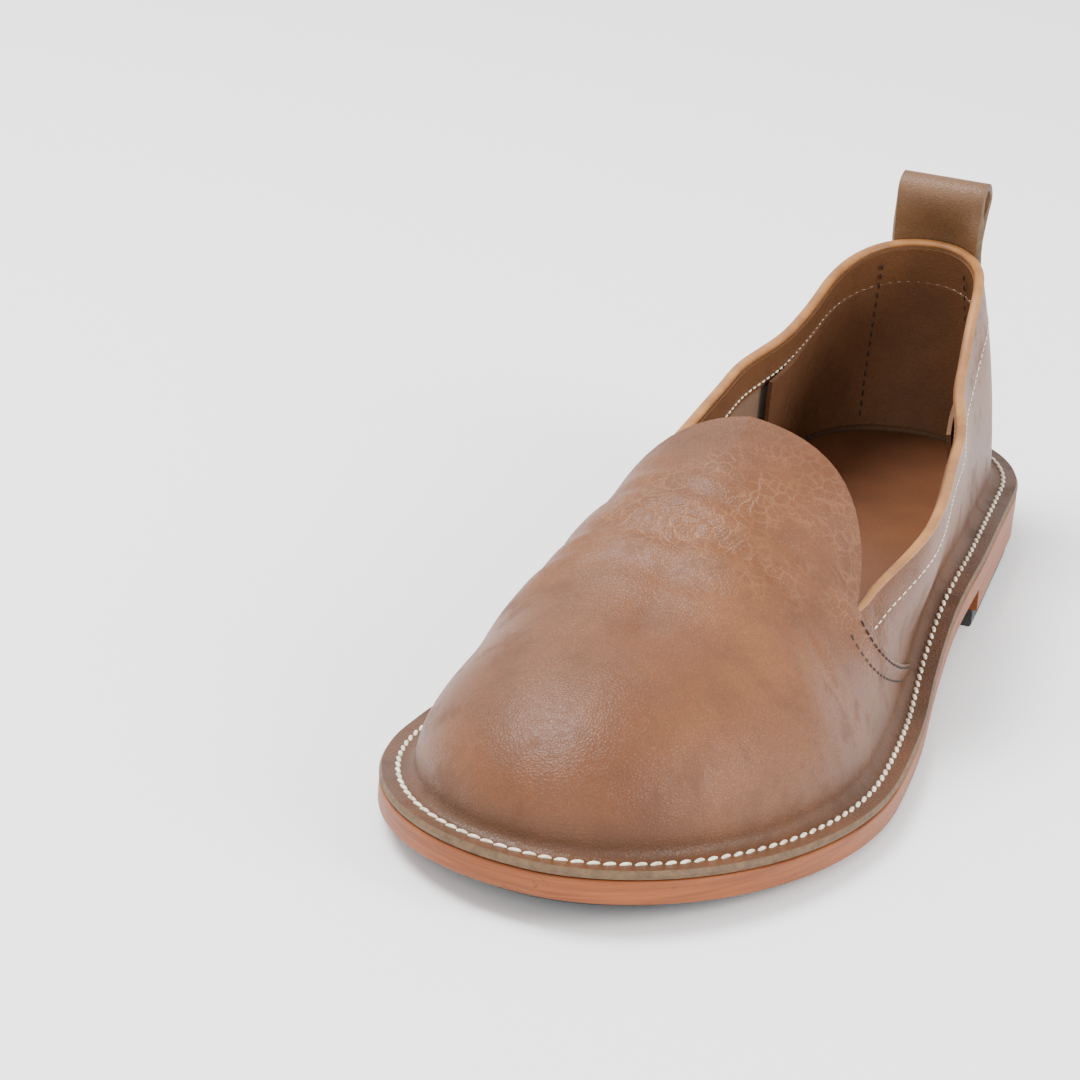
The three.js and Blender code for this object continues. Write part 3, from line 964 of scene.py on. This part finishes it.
strip_t = 0.14
for label, start, end in (("outer", -strip_t, -seam_t * 0.985), ("inner", strip_t, seam_t * 0.985)):
    row = stitch_row(
        "facing_stitches_" + label, wall_path(start, end, facing_share + 0.02), 2.6, 1.8, 0.4, 0.35, white_thread
    )
inside_row = stitch_row(
    "facing_stitches_inside", wall_path(-seam_t * 0.98, seam_t * 0.98, facing_share + 0.035, leather + 0.75, 200),
    2.6, 1.8, 0.6, 0.5, white_thread,
)

# Side seams. The vamp's edge is sewn down on each quarter with two rows of black thread, 7 mm
# apart and joined at the collar, a box that keeps the corner of the throat from tearing.


def vamp_surface(t, side, angle, section):
    lift = vamp_lift(section, side, angle)
    step = 0.002
    along = wall_point(t + step, side, angle) - wall_point(t - step, side, angle)
    up = wall_point(t, side, angle + step) - wall_point(t, side, angle - step)
    normal = np.cross(along, up) * side
    normal /= np.linalg.norm(normal)
    return wall_point(t, side, angle) + normal * (lift + 0.05), normal


def seam_path(side, ahead, low, high):
    t = unspread(seam_along + ahead / sole_length)
    section = {"t": t, "seam": ""}
    top = collar_angle(seam_t, side)
    return [vamp_surface(t, side, top * (low + (high - low) * i / 40), section) for i in range(41)]


for side in (-1, 1):
    for label, ahead in (("back", 1.6), ("front", 8.4)):
        row = stitch_row(
            "side_seam_" + side_name(side) + "_" + label, seam_path(side, ahead, 0.02, 0.97),
            2.5, 1.8, 0.6, 0.5, black_thread,
        )

# Heel strip and pull loop. One strap of the upper's leather over the back seam. It is folded
# forwards to a loop at the top, and its end is caught under the strip at the collar.

loop_width = 23
strip_leather = 1.8
loop_height = 18
loop_gap = 6
loop_lean = 4
strip_tail = 9


def back_point(beside, height):
    side = -1 if beside < 0 else 1
    low, high = 0, seam_t
    point = None
    for _ in range(30):
        t = (low + high) / 2
        foot = foot_height(feather(t, side)[1])
        point = wall_point(t, side, angle_at(t, height / (ridge_point(t)[2] - foot)))
        if abs(point[0] - middle_line(0)) < abs(beside):
            low = t
        else:
            high = t
    return point


def strip_path():
    """Height over the foot and distance from the upper of the strap's outer face, from its foot to its tail."""
    rest = seat + strip_leather
    raised = rest + seat + strip_leather
    tail_end = back_height - strip_tail
    bend = (loop_gap + 2 * strip_leather) / 2
    leg_top = back_height + loop_height - bend

    def lean(h):
        return loop_lean * smooth((h - back_height) / (leg_top - back_height))

    path = []
    for i in range(49):
        h = fillet_radius + (leg_top - fillet_radius) * i / 48
        over_tail = (raised - rest) * smooth((h - tail_end + strip_tail) / strip_tail)
        opened = (seat + 2 * bend - raised) * smooth((h - back_height) / (leg_top - back_height))
        path.append((h, rest + over_tail + opened - lean(h)))
    for i in range(1, 17):
        angle = math.pi * i / 16
        path.append((leg_top + bend * math.sin(angle), seat + bend + bend * math.cos(angle) - loop_lean))
    for i in range(1, 13):
        h = leg_top + (tail_end - leg_top) * i / 12
        path.append((h, seat - lean(h)))
    return path, leg_top


def strap_point(x, h, out, leg_top):
    flare = 1 + (loop_width / strip_width - 1) * h / (back_height + loop_height)
    flat = smooth((h - back_height) / (leg_top - back_height))
    chord = back_point(strip_width / 4, back_height)[1]
    wide = x * flare
    point = back_point(wide, min(h, back_height))
    beside = back_point(wide + seat, min(h, back_height))
    slope = (beside[1] - point[1]) / (beside[0] - point[0]) * (1 - flat)
    y = point[1] + (chord - point[1]) * flat - out * math.hypot(1, slope)
    return np.array([middle_line(0) + wide, y, point[2] + max(h - back_height, 0)])


def strap_surface():
    path, leg_top = strip_path()
    across = 12
    rows = [
        strap_point(strip_width * (c / across - 0.5), h, out, leg_top) for h, out in path for c in range(across + 1)
    ]
    quads = grid_quads(len(path), across + 1, 0, False)
    return np.array(rows), np.array(quads), np.zeros(len(rows))


strap_leather = upper_leather_finish(
    "strap_leather", srgb(112, 80, 52), srgb(98, 68, 44), srgb(76, 52, 34)
)
strap_points, strap_faces, strap_zones, _ = thick_wall(*strap_surface(), strip_leather, 0.35)
strap = make_piece("heel_strip_strap", strap_points, strap_faces, strap_leather, 50)
strap.data.materials.append(suede_lining)
strap.data.materials.append(cut_edge)
for polygon, zone in zip(strap.data.polygons, strap_zones):
    polygon.material_index = zone
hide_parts("heel_strip")

strap_row_inset = 1.6


def strap_row(x_start, x_end, h_start, h_end, steps=60):
    path, leg_top = strip_path()
    heights = np.array([h for h, _ in path[:49]])
    outs = np.array([out for _, out in path[:49]])
    row = []
    for i in range(steps + 1):
        u = i / steps
        x = x_start + (x_end - x_start) * u
        h = h_start + (h_end - h_start) * u
        out = float(np.interp(h, heights, outs))
        point = strap_point(x, h, out + 0.05, leg_top)
        beside = strap_point(x + 0.3, h, out + 0.05, leg_top)
        above = strap_point(x, h + 0.3, float(np.interp(h + 0.3, heights, outs)) + 0.05, leg_top)
        normal = np.cross(beside - point, above - point)
        row.append((point, normal / np.linalg.norm(normal)))
    return row


edge_x = strip_width / 2 - strap_row_inset
strap_rows = {
    "outer": (-edge_x, -edge_x, fillet_radius + 1, back_height - 1),
    "inner": (edge_x, edge_x, fillet_radius + 1, back_height - 1),
    "closing": (-edge_x, edge_x, back_height - 2.5, back_height - 2.5),
}
for label, (x_start, x_end, h_start, h_end) in strap_rows.items():
    row = stitch_row(
        "strap_stitches_" + label, strap_row(x_start, x_end, h_start, h_end), 2.8, 1.9, 0.6, 0.5, black_thread
    )

# The strap's two rows come through the counter lining inside the heel
for label, place in (("outer", -0.1), ("inner", 0.1)):
    path = []
    for i in range(41):
        point, normal, _ = wall_frame(place, 0.04 + 0.9 * i / 40)
        path.append((point - normal * (leather + 1.35), -normal))
    row = stitch_row("counter_stitches_" + label, path, 2.8, 1.9, 0.6, 0.5, black_thread)

# Studio. A pale floor that runs out of view, one large soft light overhead, a weaker one on the
# outer side and one in front, and the camera in front of the toe on the shoe's outer side.


def plain_finish(name, colour, roughness):
    finish = Finish(name, roughness, 0.2)
    finish.shader.inputs["Base Color"].default_value = colour
    return finish.material


floor_mesh = bpy.data.meshes.new("floor")
floor_reach = 6
floor_mesh.from_pydata(
    [(x * floor_reach, y * floor_reach, 0) for x, y in ((-1, -1), (1, -1), (1, 1), (-1, 1))], [], [(0, 1, 2, 3)]
)
floor = bpy.data.objects.new("floor", floor_mesh)
floor_mesh.materials.append(plain_finish("pale_floor", (0.93, 0.93, 0.93, 1), 0.7))
bpy.context.scene.collection.objects.link(floor)

world = bpy.data.worlds.new("studio")
world.use_nodes = True
world.node_tree.nodes["Background"].inputs["Color"].default_value = (1, 1, 1, 1)
world.node_tree.nodes["Background"].inputs["Strength"].default_value = 1.3
bpy.context.scene.world = world

light_table = [
    {"name": "overhead", "place": (0.65, 0.05, 1.4), "size": 0.9, "power": 42},
    {"name": "outer_side", "place": (-1.3, 0.1, 0.8), "size": 0.8, "power": 20},
    {"name": "front", "place": (-0.1, 1.6, 0.8), "size": 0.8, "power": 10},
]
aim = Vector((0, 0, 0.04))
for row in light_table:
    lamp = bpy.data.lights.new(row["name"], "AREA")
    lamp.shape = "DISK"
    lamp.size = row["size"]
    lamp.energy = row["power"]
    holder = bpy.data.objects.new(row["name"], lamp)
    holder.location = row["place"]
    holder.rotation_mode = "QUATERNION"
    holder.rotation_quaternion = (aim - Vector(row["place"])).to_track_quat("-Z", "Y")
    bpy.context.scene.collection.objects.link(holder)

camera_place = Vector((-0.2427, 0.8603, 0.3723))
camera_right = Vector((-0.93193, -0.35543, 0.07200))
camera_up = Vector((0.19081, -0.31174, 0.93081))
camera_back = camera_right.cross(camera_up)
camera_data = bpy.data.cameras.new("camera")
camera_data.sensor_width = 36
camera_data.lens = 134.0
camera_data.shift_x = 0.0065
camera_data.shift_y = 0.0045
camera = bpy.data.objects.new("camera", camera_data)
turn = Matrix((camera_right, camera_up, camera_back)).transposed().to_4x4()
camera.matrix_world = Matrix.Translation(camera_place) @ turn
bpy.context.scene.collection.objects.link(camera)
bpy.context.scene.camera = camera
